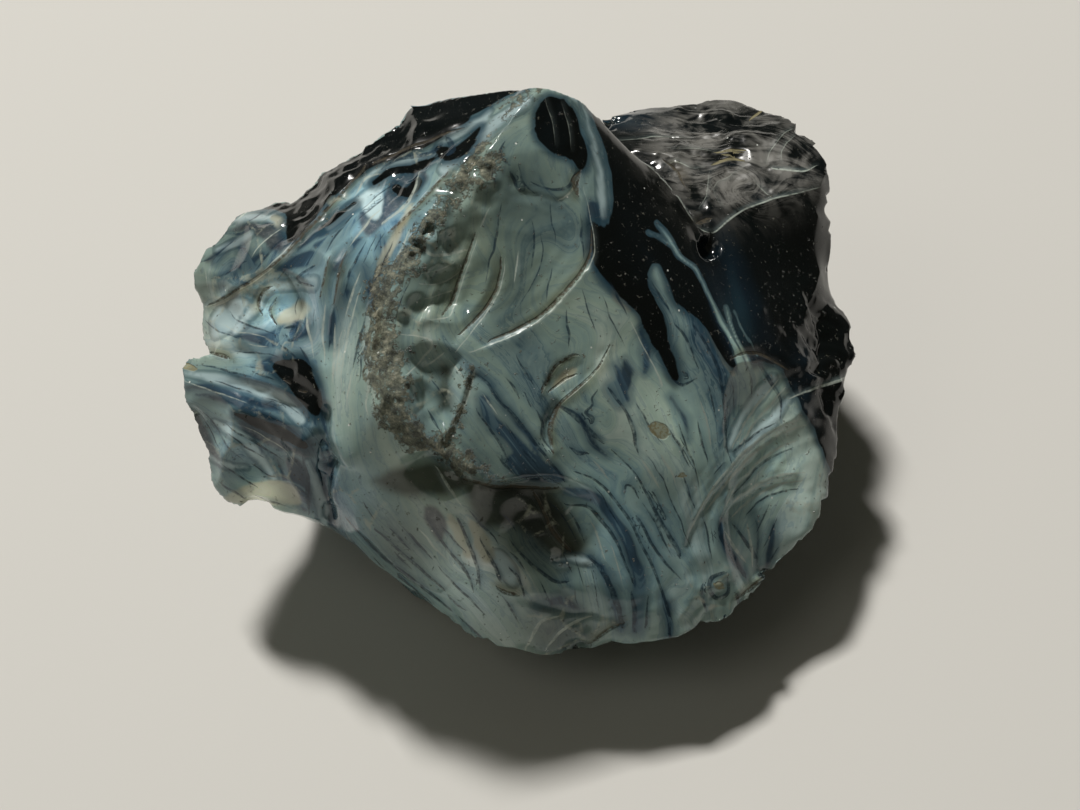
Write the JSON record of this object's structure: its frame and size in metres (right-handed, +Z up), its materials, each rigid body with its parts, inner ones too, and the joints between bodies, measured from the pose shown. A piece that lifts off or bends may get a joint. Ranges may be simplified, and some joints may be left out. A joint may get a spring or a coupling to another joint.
{
  "type": "swirled slag glass lump",
  "caption": "Hand-sized broken lump of marbled teal, blue and black slag glass with a tall crest, knobs, a back shoulder and shell-shaped fractures, resting on a flat face.",
  "frame": {"origin": "bottom centre of the bounding box, on the floor that the lump rests on", "axes": "+X to the lump's right, its longest extent; +Y to its back, away from the broad marbled face; +Z up"},
  "size_m": [0.151, 0.1332, 0.104],
  "materials": {
    "marbled_glass": "opaque marbled glass, glossy on fresh fractures, dull and brown where crusted"
  },
  "bodies": {
    "root": {"glass_lump": "marbled_glass"}
  },
  "joints": []
}
